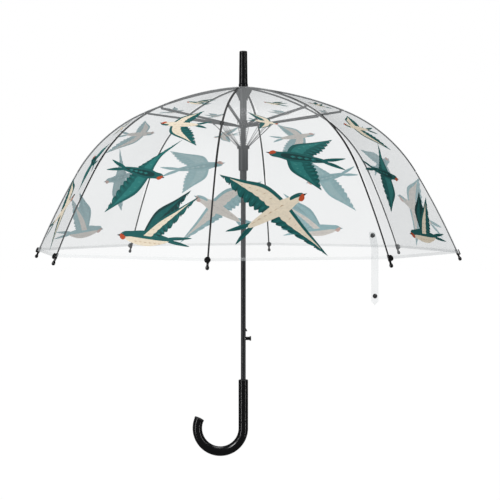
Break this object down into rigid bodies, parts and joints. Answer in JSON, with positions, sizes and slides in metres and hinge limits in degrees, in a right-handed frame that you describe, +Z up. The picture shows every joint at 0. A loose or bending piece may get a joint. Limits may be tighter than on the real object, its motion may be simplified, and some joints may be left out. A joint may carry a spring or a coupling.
{
  "type": "clear bubble umbrella",
  "caption": "Deep dome umbrella of clear film on folding black ribs, with a double runner, push button, crook handle and printed birds.",
  "frame": {"origin": "on the shaft's axis at the middle of the handle's straight grip", "axes": "+Z up the shaft to the ferrule, crook turned to -X, push button on +X"},
  "size_m": [0.8728, 0.8728, 0.8283],
  "materials": {
    "black_steel_tube": "satin black painted steel tube",
    "gloss_black_plastic": "glossy black moulded plastic",
    "black_plastic": "satin black moulded plastic",
    "black_rib": "black coated rib",
    "black_channel_steel": "black coated steel channel",
    "black_wire": "black coated steel wire",
    "bright_steel": "plain spring steel",
    "clear_film": "clear soft plastic film, faintly milky, with printed birds",
    "clear_vinyl": "thick clear vinyl strip"
  },
  "bodies": {
    "root": {"shaft": "black_steel_tube", "ferrule": "gloss_black_plastic", "top_notch": "black_plastic", "canopy": "clear_film", "handle": "gloss_black_plastic"},
    "upper_runner": {"upper_runner": "black_plastic", "spring": "black_wire"},
    "lower_runner": {"lower_runner": "black_plastic"},
    "push_button": {"push_button": "gloss_black_plastic"},
    "bottom_catch": {"bottom_catch": "bright_steel"},
    "strap_stud": {"strap_stud": "gloss_black_plastic"},
    "strap": {"strap": "clear_vinyl"},
    "rib_1_upper": {"rib_1_upper": "black_rib"},
    "rib_1_middle": {"rib_1_middle": "black_rib"},
    "rib_1_end": {"rib_1_end": "black_rib", "tip_1": "gloss_black_plastic"},
    "stretcher_1": {"stretcher_1": "black_channel_steel"},
    "link_1": {"link_1": "black_wire"},
    "rib_2_upper": {"rib_2_upper": "black_rib"},
    "rib_2_middle": {"rib_2_middle": "black_rib"},
    "rib_2_end": {"rib_2_end": "black_rib", "tip_2": "gloss_black_plastic"},
    "stretcher_2": {"stretcher_2": "black_channel_steel"},
    "link_2": {"link_2": "black_wire"},
    "rib_3_upper": {"rib_3_upper": "black_rib"},
    "rib_3_middle": {"rib_3_middle": "black_rib"},
    "rib_3_end": {"rib_3_end": "black_rib", "tip_3": "gloss_black_plastic"},
    "stretcher_3": {"stretcher_3": "black_channel_steel"},
    "link_3": {"link_3": "black_wire"},
    "rib_4_upper": {"rib_4_upper": "black_rib"},
    "rib_4_middle": {"rib_4_middle": "black_rib"},
    "rib_4_end": {"rib_4_end": "black_rib", "tip_4": "gloss_black_plastic"},
    "stretcher_4": {"stretcher_4": "black_channel_steel"},
    "link_4": {"link_4": "black_wire"},
    "rib_5_upper": {"rib_5_upper": "black_rib"},
    "rib_5_middle": {"rib_5_middle": "black_rib"},
    "rib_5_end": {"rib_5_end": "black_rib", "tip_5": "gloss_black_plastic"},
    "stretcher_5": {"stretcher_5": "black_channel_steel"},
    "link_5": {"link_5": "black_wire"},
    "rib_6_upper": {"rib_6_upper": "black_rib"},
    "rib_6_middle": {"rib_6_middle": "black_rib"},
    "rib_6_end": {"rib_6_end": "black_rib", "tip_6": "gloss_black_plastic"},
    "stretcher_6": {"stretcher_6": "black_channel_steel"},
    "link_6": {"link_6": "black_wire"},
    "rib_7_upper": {"rib_7_upper": "black_rib"},
    "rib_7_middle": {"rib_7_middle": "black_rib"},
    "rib_7_end": {"rib_7_end": "black_rib", "tip_7": "gloss_black_plastic"},
    "stretcher_7": {"stretcher_7": "black_channel_steel"},
    "link_7": {"link_7": "black_wire"},
    "rib_8_upper": {"rib_8_upper": "black_rib"},
    "rib_8_middle": {"rib_8_middle": "black_rib"},
    "rib_8_end": {"rib_8_end": "black_rib", "tip_8": "gloss_black_plastic"},
    "stretcher_8": {"stretcher_8": "black_channel_steel"},
    "link_8": {"link_8": "black_wire"}
  },
  "joints": [
    {"name": "rib_1_hinge", "type": "hinge", "parent": "root", "child": "rib_1_upper", "pos_m": [-0.00106, -0.00743, 0.624], "axis": [0.99, -0.1409, 0], "range_deg": [0, 78.07], "stiffness_Nm_per_rad": 1, "springref_deg": -34.38, "deforming": ["canopy"]},
    {"name": "rib_1_flex_upper", "type": "hinge", "parent": "rib_1_upper", "child": "rib_1_middle", "pos_m": [-0.02916, -0.20488, 0.59713], "axis": [0.99, -0.1409, 0], "range_deg": [-29.09, 0]},
    {"name": "rib_1_flex_lower", "type": "hinge", "parent": "rib_1_middle", "child": "rib_1_end", "pos_m": [-0.04927, -0.34619, 0.47306], "axis": [0.99, -0.1409, 0], "range_deg": [-22.01, 0]},
    {"name": "stretcher_1_pivot", "type": "hinge", "parent": "rib_1_upper", "child": "stretcher_1", "pos_m": [-0.02791, -0.19613, 0.59577], "axis": [0.99, -0.1409, 0], "range_deg": [-156.23, 0]},
    {"name": "rib_2_hinge", "type": "hinge", "parent": "root", "child": "rib_2_upper", "pos_m": [0.0045, -0.006, 0.624], "axis": [0.7997, 0.6004, 0], "range_deg": [0, 78.11]},
    {"name": "rib_2_flex_upper", "type": "hinge", "parent": "rib_2_upper", "child": "rib_2_middle", "pos_m": [0.12426, -0.16549, 0.59713], "axis": [0.7997, 0.6004, 0], "range_deg": [-29.09, 0]},
    {"name": "rib_2_flex_lower", "type": "hinge", "parent": "rib_2_middle", "child": "rib_2_end", "pos_m": [0.20995, -0.27963, 0.47306], "axis": [0.7997, 0.6004, 0], "range_deg": [-22.01, 0]},
    {"name": "stretcher_2_pivot", "type": "hinge", "parent": "rib_2_upper", "child": "stretcher_2", "pos_m": [0.11895, -0.15842, 0.59577], "axis": [0.7997, 0.6004, 0], "range_deg": [-156.23, 0]},
    {"name": "rib_3_hinge", "type": "hinge", "parent": "root", "child": "rib_3_upper", "pos_m": [0.00743, -0.00106, 0.624], "axis": [0.1409, 0.99, 0], "range_deg": [0, 78.11]},
    {"name": "rib_3_flex_upper", "type": "hinge", "parent": "rib_3_upper", "child": "rib_3_middle", "pos_m": [0.20488, -0.02916, 0.59713], "axis": [0.1409, 0.99, 0], "range_deg": [-29.09, 0]},
    {"name": "rib_3_flex_lower", "type": "hinge", "parent": "rib_3_middle", "child": "rib_3_end", "pos_m": [0.34619, -0.04927, 0.47306], "axis": [0.1409, 0.99, 0], "range_deg": [-22.01, 0]},
    {"name": "stretcher_3_pivot", "type": "hinge", "parent": "rib_3_upper", "child": "stretcher_3", "pos_m": [0.19613, -0.02791, 0.59577], "axis": [0.1409, 0.99, 0], "range_deg": [-156.23, 0]},
    {"name": "rib_4_hinge", "type": "hinge", "parent": "root", "child": "rib_4_upper", "pos_m": [0.006, 0.0045, 0.624], "axis": [-0.6004, 0.7997, 0], "range_deg": [0, 78.11]},
    {"name": "rib_4_flex_upper", "type": "hinge", "parent": "rib_4_upper", "child": "rib_4_middle", "pos_m": [0.16549, 0.12426, 0.59713], "axis": [-0.6004, 0.7997, 0], "range_deg": [-29.09, 0]},
    {"name": "rib_4_flex_lower", "type": "hinge", "parent": "rib_4_middle", "child": "rib_4_end", "pos_m": [0.27963, 0.20995, 0.47306], "axis": [-0.6004, 0.7997, 0], "range_deg": [-22.01, 0]},
    {"name": "stretcher_4_pivot", "type": "hinge", "parent": "rib_4_upper", "child": "stretcher_4", "pos_m": [0.15842, 0.11895, 0.59577], "axis": [-0.6004, 0.7997, 0], "range_deg": [-156.23, 0]},
    {"name": "rib_5_hinge", "type": "hinge", "parent": "root", "child": "rib_5_upper", "pos_m": [0.00106, 0.00743, 0.624], "axis": [-0.99, 0.1409, 0], "range_deg": [0, 78.11]},
    {"name": "rib_5_flex_upper", "type": "hinge", "parent": "rib_5_upper", "child": "rib_5_middle", "pos_m": [0.02916, 0.20488, 0.59713], "axis": [-0.99, 0.1409, 0], "range_deg": [-29.09, 0]},
    {"name": "rib_5_flex_lower", "type": "hinge", "parent": "rib_5_middle", "child": "rib_5_end", "pos_m": [0.04927, 0.34619, 0.47306], "axis": [-0.99, 0.1409, 0], "range_deg": [-22.01, 0]},
    {"name": "stretcher_5_pivot", "type": "hinge", "parent": "rib_5_upper", "child": "stretcher_5", "pos_m": [0.02791, 0.19613, 0.59577], "axis": [-0.99, 0.1409, 0], "range_deg": [-156.23, 0]},
    {"name": "rib_6_hinge", "type": "hinge", "parent": "root", "child": "rib_6_upper", "pos_m": [-0.0045, 0.006, 0.624], "axis": [-0.7997, -0.6004, 0], "range_deg": [0, 78.11]},
    {"name": "rib_6_flex_upper", "type": "hinge", "parent": "rib_6_upper", "child": "rib_6_middle", "pos_m": [-0.12426, 0.16549, 0.59713], "axis": [-0.7997, -0.6004, 0], "range_deg": [-29.09, 0]},
    {"name": "rib_6_flex_lower", "type": "hinge", "parent": "rib_6_middle", "child": "rib_6_end", "pos_m": [-0.20995, 0.27963, 0.47306], "axis": [-0.7997, -0.6004, 0], "range_deg": [-22.01, 0]},
    {"name": "stretcher_6_pivot", "type": "hinge", "parent": "rib_6_upper", "child": "stretcher_6", "pos_m": [-0.11895, 0.15842, 0.59577], "axis": [-0.7997, -0.6004, 0], "range_deg": [-156.23, 0]},
    {"name": "rib_7_hinge", "type": "hinge", "parent": "root", "child": "rib_7_upper", "pos_m": [-0.00743, 0.00106, 0.624], "axis": [-0.1409, -0.99, 0], "range_deg": [0, 78.11]},
    {"name": "rib_7_flex_upper", "type": "hinge", "parent": "rib_7_upper", "child": "rib_7_middle", "pos_m": [-0.20488, 0.02916, 0.59713], "axis": [-0.1409, -0.99, 0], "range_deg": [-29.09, 0]},
    {"name": "rib_7_flex_lower", "type": "hinge", "parent": "rib_7_middle", "child": "rib_7_end", "pos_m": [-0.34619, 0.04927, 0.47306], "axis": [-0.1409, -0.99, 0], "range_deg": [-22.01, 0]},
    {"name": "stretcher_7_pivot", "type": "hinge", "parent": "rib_7_upper", "child": "stretcher_7", "pos_m": [-0.19613, 0.02791, 0.59577], "axis": [-0.1409, -0.99, 0], "range_deg": [-156.23, 0]},
    {"name": "rib_8_hinge", "type": "hinge", "parent": "root", "child": "rib_8_upper", "pos_m": [-0.006, -0.0045, 0.624], "axis": [0.6004, -0.7997, 0], "range_deg": [0, 78.11]},
    {"name": "rib_8_flex_upper", "type": "hinge", "parent": "rib_8_upper", "child": "rib_8_middle", "pos_m": [-0.16549, -0.12426, 0.59713], "axis": [0.6004, -0.7997, 0], "range_deg": [-29.09, 0]},
    {"name": "rib_8_flex_lower", "type": "hinge", "parent": "rib_8_middle", "child": "rib_8_end", "pos_m": [-0.27963, -0.20995, 0.47306], "axis": [0.6004, -0.7997, 0], "range_deg": [-22.01, 0]},
    {"name": "stretcher_8_pivot", "type": "hinge", "parent": "rib_8_upper", "child": "stretcher_8", "pos_m": [-0.15842, -0.11895, 0.59577], "axis": [0.6004, -0.7997, 0], "range_deg": [-156.23, 0]},
    {"name": "upper_runner_hinge", "type": "hinge", "parent": "stretcher_1", "child": "upper_runner", "pos_m": [-0.00106, -0.00743, 0.56753], "axis": [0.99, -0.1409, 0], "range_deg": [0, 78.11]},
    {"name": "lower_runner_slide", "type": "slide", "parent": "upper_runner", "child": "lower_runner", "axis": [0, 0, 1], "range_m": [0, 0.02652], "deforming": ["spring"]},
    {"name": "link_1_pivot", "type": "hinge", "parent": "lower_runner", "child": "link_1", "pos_m": [-0.00151, -0.01059, 0.52533], "axis": [0.99, -0.1409, 0], "range_deg": [-44.1, 0]},
    {"name": "link_2_pivot", "type": "hinge", "parent": "lower_runner", "child": "link_2", "pos_m": [0.00642, -0.00856, 0.52533], "axis": [0.7997, 0.6004, 0], "range_deg": [-44.1, 0]},
    {"name": "link_3_pivot", "type": "hinge", "parent": "lower_runner", "child": "link_3", "pos_m": [0.01059, -0.00151, 0.52533], "axis": [0.1409, 0.99, 0], "range_deg": [-44.1, 0]},
    {"name": "link_4_pivot", "type": "hinge", "parent": "lower_runner", "child": "link_4", "pos_m": [0.00856, 0.00642, 0.52533], "axis": [-0.6004, 0.7997, 0], "range_deg": [-44.1, 0]},
    {"name": "link_5_pivot", "type": "hinge", "parent": "lower_runner", "child": "link_5", "pos_m": [0.00151, 0.01059, 0.52533], "axis": [-0.99, 0.1409, 0], "range_deg": [-44.1, 0]},
    {"name": "link_6_pivot", "type": "hinge", "parent": "lower_runner", "child": "link_6", "pos_m": [-0.00642, 0.00856, 0.52533], "axis": [-0.7997, -0.6004, 0], "range_deg": [-44.1, 0]},
    {"name": "link_7_pivot", "type": "hinge", "parent": "lower_runner", "child": "link_7", "pos_m": [-0.01059, 0.00151, 0.52533], "axis": [-0.1409, -0.99, 0], "range_deg": [-44.1, 0]},
    {"name": "link_8_pivot", "type": "hinge", "parent": "lower_runner", "child": "link_8", "pos_m": [-0.00856, -0.00642, 0.52533], "axis": [0.6004, -0.7997, 0], "range_deg": [-44.1, 0]},
    {"name": "strap_stud_slide", "type": "slide", "parent": "rib_4_end", "child": "strap_stud", "axis": [0.9181, -0.2677, 0.2922], "range_m": [0, 0.0512]},
    {"name": "strap_hinge", "type": "hinge", "parent": "strap_stud", "child": "strap", "pos_m": [0.29118, 0.27968, 0.33636], "axis": [-0.6004, 0.7997, 0], "range_deg": [-27.01, 0], "deforming": ["strap"]},
    {"name": "button_press", "type": "slide", "parent": "root", "child": "push_button", "axis": [-1, 0, 0], "range_m": [0, 0.0035], "stiffness_N_per_m": 500, "springref_m": -0.004},
    {"name": "catch_press", "type": "slide", "parent": "root", "child": "bottom_catch", "axis": [-1, 0, 0], "range_m": [0, 0.0035], "deforming": ["bottom_catch"]}
  ],
  "couplings": [
    {"joint": "rib_1_flex_upper", "follows": "rib_1_hinge", "ratio": -0.37239},
    {"joint": "rib_1_flex_lower", "follows": "rib_1_hinge", "ratio": -0.28178},
    {"joint": "stretcher_1_pivot", "follows": "rib_1_hinge", "ratio": -2},
    {"joint": "rib_2_hinge", "follows": "rib_1_hinge", "ratio": 1},
    {"joint": "rib_2_flex_upper", "follows": "rib_1_hinge", "ratio": -0.37239},
    {"joint": "rib_2_flex_lower", "follows": "rib_1_hinge", "ratio": -0.28178},
    {"joint": "stretcher_2_pivot", "follows": "rib_1_hinge", "ratio": -2},
    {"joint": "rib_3_hinge", "follows": "rib_1_hinge", "ratio": 1},
    {"joint": "rib_3_flex_upper", "follows": "rib_1_hinge", "ratio": -0.37239},
    {"joint": "rib_3_flex_lower", "follows": "rib_1_hinge", "ratio": -0.28178},
    {"joint": "stretcher_3_pivot", "follows": "rib_1_hinge", "ratio": -2},
    {"joint": "rib_4_hinge", "follows": "rib_1_hinge", "ratio": 1},
    {"joint": "rib_4_flex_upper", "follows": "rib_1_hinge", "ratio": -0.37239},
    {"joint": "rib_4_flex_lower", "follows": "rib_1_hinge", "ratio": -0.28178},
    {"joint": "stretcher_4_pivot", "follows": "rib_1_hinge", "ratio": -2},
    {"joint": "rib_5_hinge", "follows": "rib_1_hinge", "ratio": 1},
    {"joint": "rib_5_flex_upper", "follows": "rib_1_hinge", "ratio": -0.37239},
    {"joint": "rib_5_flex_lower", "follows": "rib_1_hinge", "ratio": -0.28178},
    {"joint": "stretcher_5_pivot", "follows": "rib_1_hinge", "ratio": -2},
    {"joint": "rib_6_hinge", "follows": "rib_1_hinge", "ratio": 1},
    {"joint": "rib_6_flex_upper", "follows": "rib_1_hinge", "ratio": -0.37239},
    {"joint": "rib_6_flex_lower", "follows": "rib_1_hinge", "ratio": -0.28178},
    {"joint": "stretcher_6_pivot", "follows": "rib_1_hinge", "ratio": -2},
    {"joint": "rib_7_hinge", "follows": "rib_1_hinge", "ratio": 1},
    {"joint": "rib_7_flex_upper", "follows": "rib_1_hinge", "ratio": -0.37239},
    {"joint": "rib_7_flex_lower", "follows": "rib_1_hinge", "ratio": -0.28178},
    {"joint": "stretcher_7_pivot", "follows": "rib_1_hinge", "ratio": -2},
    {"joint": "rib_8_hinge", "follows": "rib_1_hinge", "ratio": 1},
    {"joint": "rib_8_flex_upper", "follows": "rib_1_hinge", "ratio": -0.37239},
    {"joint": "rib_8_flex_lower", "follows": "rib_1_hinge", "ratio": -0.28178},
    {"joint": "stretcher_8_pivot", "follows": "rib_1_hinge", "ratio": -2},
    {"joint": "upper_runner_hinge", "follows": "rib_1_hinge", "ratio": 1},
    {"joint": "lower_runner_slide", "follows": "rib_1_hinge", "m_per_rad": 0.019443},
    {"joint": "link_1_pivot", "follows": "rib_1_hinge", "ratio": -0.56454},
    {"joint": "link_2_pivot", "follows": "rib_1_hinge", "ratio": -0.56454},
    {"joint": "link_3_pivot", "follows": "rib_1_hinge", "ratio": -0.56454},
    {"joint": "link_4_pivot", "follows": "rib_1_hinge", "ratio": -0.56454},
    {"joint": "link_5_pivot", "follows": "rib_1_hinge", "ratio": -0.56454},
    {"joint": "link_6_pivot", "follows": "rib_1_hinge", "ratio": -0.56454},
    {"joint": "link_7_pivot", "follows": "rib_1_hinge", "ratio": -0.56454},
    {"joint": "link_8_pivot", "follows": "rib_1_hinge", "ratio": -0.56454},
    {"joint": "strap_stud_slide", "follows": "rib_1_hinge", "m_per_rad": 0.037533},
    {"joint": "strap_hinge", "follows": "rib_1_hinge", "ratio": -0.34583},
    {"joint": "catch_press", "follows": "button_press", "ratio": 1}
  ]
}
